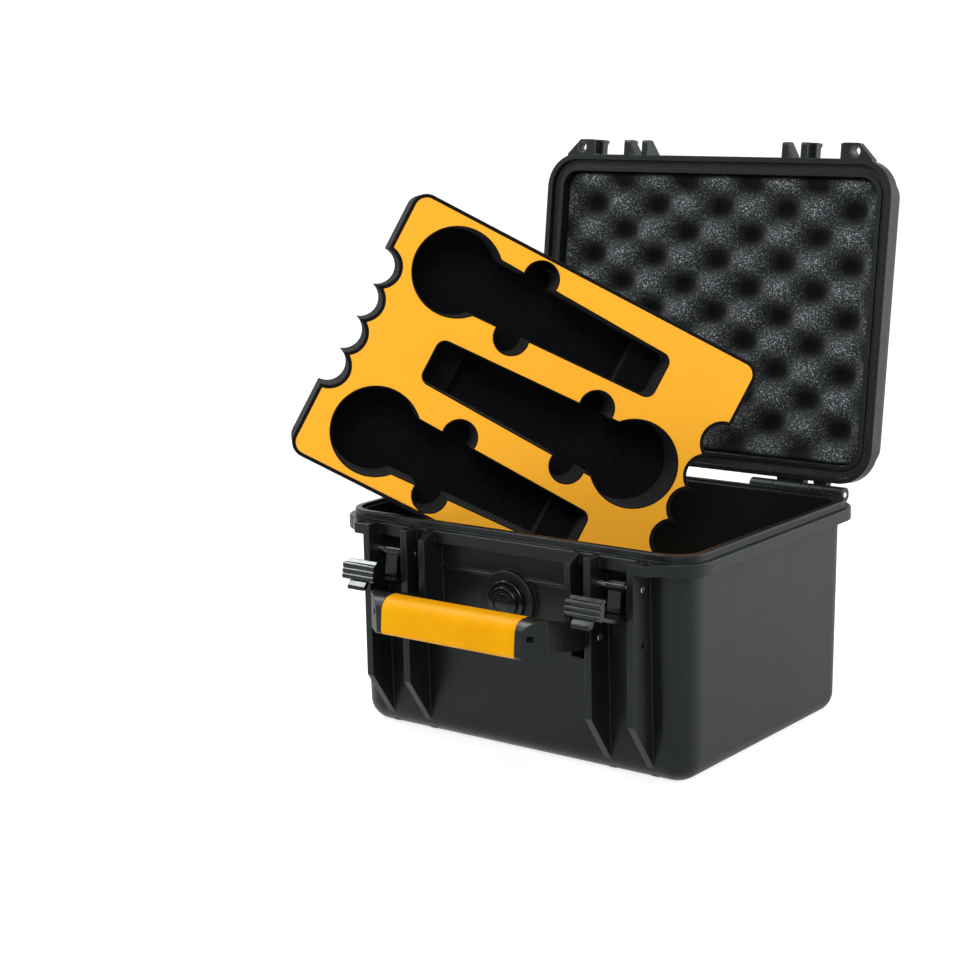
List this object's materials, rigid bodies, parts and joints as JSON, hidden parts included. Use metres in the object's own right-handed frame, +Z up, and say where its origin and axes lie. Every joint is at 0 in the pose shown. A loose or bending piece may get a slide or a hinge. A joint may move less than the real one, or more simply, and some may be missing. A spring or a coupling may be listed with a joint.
{
  "type": "hinged microphone case",
  "caption": "Hard moulded case with a hinged foam-lined lid, snap-over latches, folding padded handle, pressure valve and slotted foam microphone trays.",
  "frame": {"origin": "middle of the flat underside of the base, on the ground", "axes": "+X to the right of someone facing the handle, +Y from the handle side to the hinge side, +Z up"},
  "size_m": [0.2998, 0.3398, 0.3666],
  "materials": {
    "shell": "fine leather-grain moulded polypropylene",
    "seal": "smooth foam rubber cord",
    "lid_foam": "open-cell convoluted foam",
    "steel": "ground steel pin",
    "brass": "dull bronze eyelet",
    "latch": "smooth moulded nylon",
    "handle": "smooth moulded nylon",
    "grip": "soft yellow rubber",
    "valve": "smooth moulded nylon",
    "membrane": "fine woven membrane",
    "tray_foam": "closed-cell foam with a fine velvet skin",
    "sheet": "flat orange foam sheet"
  },
  "bodies": {
    "base": {"base_shell": "shell", "hinge_pin_left": "steel", "hinge_pin_right": "steel", "latch_pin_left": "steel", "latch_pin_right": "steel", "handle_pin_left": "steel", "handle_pin_right": "steel", "valve_body": "valve", "valve_cap": "valve", "valve_membrane": "membrane", "valve_washer": "seal", "valve_ring": "valve", "lower_tray_foam": "tray_foam", "lower_tray_face": "sheet", "floor_pad": "tray_foam"},
    "lid": {"lid_shell": "shell", "lid_seal": "seal", "lid_foam": "lid_foam", "eyelet_left": "brass", "eyelet_right": "brass"},
    "tray": {"tray_foam": "tray_foam", "tray_face": "sheet"},
    "handle": {"handle_frame": "handle", "handle_grip": "grip"},
    "left_latch": {"latch_left": "latch"},
    "right_latch": {"latch_right": "latch"}
  },
  "joints": [
    {"name": "lid_hinge", "type": "hinge", "parent": "base", "child": "lid", "pos_m": [0, 0.1125, 0.1398], "axis": [1, 0, 0], "range_deg": [0, 97.6]},
    {"name": "tray_lift", "type": "slide", "parent": "base", "child": "tray", "axis": [-0.6669, -0.565, 0.4859], "range_m": [0, 0.52]},
    {"name": "handle_fold", "type": "hinge", "parent": "base", "child": "handle", "pos_m": [0, -0.1059, 0.088], "axis": [1, 0, 0], "range_deg": [0, 92]},
    {"name": "left_latch_swing", "type": "hinge", "parent": "base", "child": "left_latch", "pos_m": [-0.08465, -0.1059, 0.1212], "axis": [-1, 0, 0], "range_deg": [0, 81]},
    {"name": "right_latch_swing", "type": "hinge", "parent": "base", "child": "right_latch", "pos_m": [0.08465, -0.1059, 0.1212], "axis": [-1, 0, 0], "range_deg": [0, 81]}
  ],
  "couplings": [
    {"joint": "tray_lift", "follows": "lid_hinge", "m_per_rad": 0.3}
  ]
}
